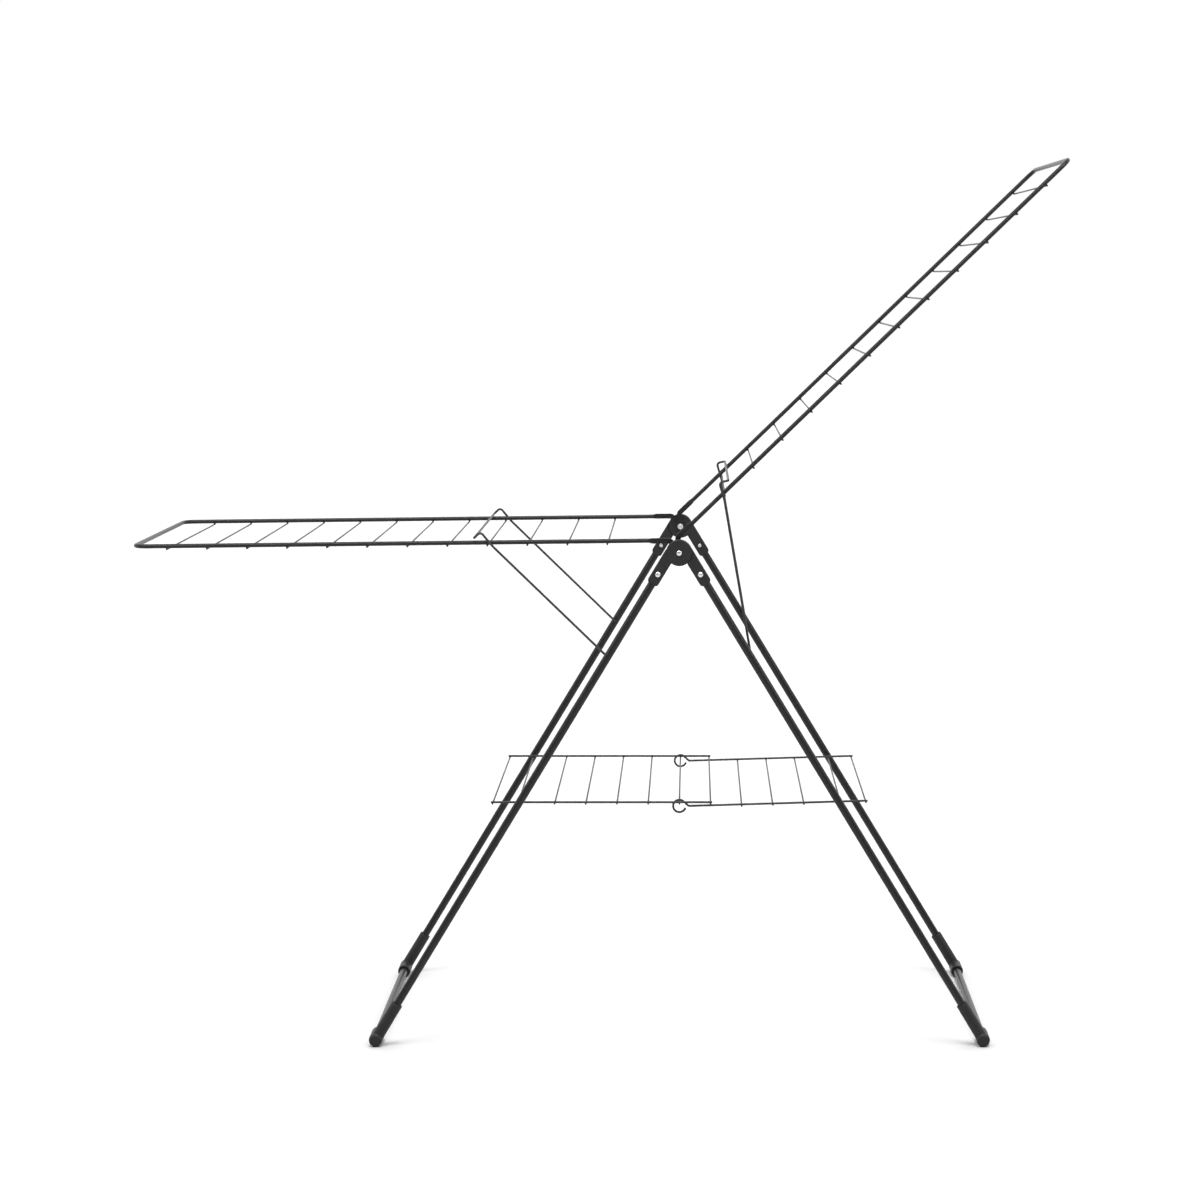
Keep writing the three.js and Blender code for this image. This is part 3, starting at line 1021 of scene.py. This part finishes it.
def makeRightGrid():
    size = shelfSize

    def railUp(reach):
        return size["railRise"] - (shelfPivot - reach) * tan(size["tilt"])

    shells = [gridBar("right", shelfPivot, size["rightPinY"], 0, size["rightRailY"])]
    for reach in (size["edge"], size["outerBar"], 3 * size["pitch"], 2 * size["pitch"]):
        half = size["rightRailY"] + size["overhang"]
        up = railUp(reach) - size["railRise"]
        shells.append(gridBar("right", reach, half, up, size["rightRailY"]))
    for end in ends.values():
        y = end * size["rightRailY"]
        reaches = (size["edge"] + size["overhang"], size["hookStart"])
        path = [onShelf("right", reach, y, railUp(reach)) for reach in reaches]
        first, last = size["hookTurn"]
        ring = arc(0, -size["hookDrop"], size["hookRadius"], first, last, size["hookSteps"])
        path += [onShelf("right", across, y, up) for across, up in ring]
        corner = tuple(path[1])
        path = roundCorners(path, lambda spot: size["hookBend"] if tuple(spot) == corner else 0)
        shells.append(rod(path, size["railRadius"], 20))
    grid = makeObject("right_shelf_wires", together(*shells))
    fit(grid, "wire_steel", "shelf_right", ["right_shelf_grid"])


makeLeftGrid()
makeRightGrid()
print("shelf made")


studio = {
    "floorHalf": 40.0,
    "floorColour": (0.92, 0.92, 0.92, 1),
    "floorRoughness": 0.9,
    "skyFront": 0.05,  # light that comes from behind the camera
    "skyBack": 1.34,
    "skyTurn": (-0.75, 0.45),  # where it goes from one to the other, front to back
    "overhead": {"tilt": 16, "strength": 1.35, "spread": 24},  # tilt and spread in degrees
    "strip": {"place": (0.0, -3.0, 3.6), "aimHeight": 0.7, "size": (14.0, 0.2), "power": 420.0},
}


def makeFloor(look):
    half = look["floorHalf"]
    corners = [(-half, -half, 0), (half, -half, 0), (half, half, 0), (-half, half, 0)]
    floor = makeObject("floor", (corners, [(0, 1, 2, 3)]))
    material = bpy.data.materials.new("paleFloor")
    material.use_nodes = True
    surface = material.node_tree.nodes["Principled BSDF"]
    surface.inputs["Base Color"].default_value = look["floorColour"]
    surface.inputs["Roughness"].default_value = look["floorRoughness"]
    surface.inputs["Specular IOR Level"].default_value = 0.0
    floor.data.materials.append(material)


def makeSky(look):
    # white where it is seen directly, and its light comes mostly from beyond the airer
    world = bpy.data.worlds.new("studio")
    bpy.context.scene.world = world
    world.use_nodes = True
    tree = world.node_tree
    tree.nodes.clear()
    place = addNode(tree, "ShaderNodeTexCoord")
    axes = addNode(tree, "ShaderNodeSeparateXYZ")
    level = addRange(tree, look["skyTurn"], (look["skyFront"], look["skyBack"]), "SMOOTHSTEP")
    seen = addNode(tree, "ShaderNodeLightPath")
    strength = addNode(tree, "ShaderNodeMix", data_type="FLOAT")
    strength.inputs["B"].default_value = 1.0
    sky = addNode(tree, "ShaderNodeBackground")
    output = addNode(tree, "ShaderNodeOutputWorld")
    tree.links.new(place.outputs["Generated"], axes.inputs["Vector"])
    tree.links.new(axes.outputs["Y"], level.inputs["Value"])
    tree.links.new(seen.outputs["Is Camera Ray"], strength.inputs["Factor"])
    tree.links.new(level.outputs["Result"], strength.inputs["A"])
    tree.links.new(strength.outputs["Result"], sky.inputs["Strength"])
    tree.links.new(sky.outputs["Background"], output.inputs["Surface"])
    sky.inputs["Color"].default_value = (1, 1, 1, 1)


def makeStrip(look):
    data = bpy.data.lights.new("stripLight", "AREA")
    data.shape = "RECTANGLE"
    data.size, data.size_y = look["size"]
    data.energy = look["power"]
    light = bpy.data.objects.new("stripLight", data)
    light.location = Vector(look["place"]) + Vector((hinge.x, 0, 0))
    aim = Vector((hinge.x, 0, look["aimHeight"])) - light.location
    light.rotation_euler = aim.to_track_quat("-Z", "Y").to_euler()
    light.visible_diffuse = False  # it only draws the bright lines along the tubes
    bpy.context.scene.collection.objects.link(light)


def makeOverhead(look):
    data = bpy.data.lights.new("overhead", "SUN")
    data.energy = look["strength"]
    data.angle = radians(look["spread"])
    light = bpy.data.objects.new("overhead", data)
    light.rotation_euler = (radians(look["tilt"]), 0, 0)
    bpy.context.scene.collection.objects.link(light)


makeFloor(studio)
makeSky(studio)
makeOverhead(studio["overhead"])
makeStrip(studio["strip"])
bpy.context.scene.view_settings.view_transform = "Standard"
print("floor and lights made")
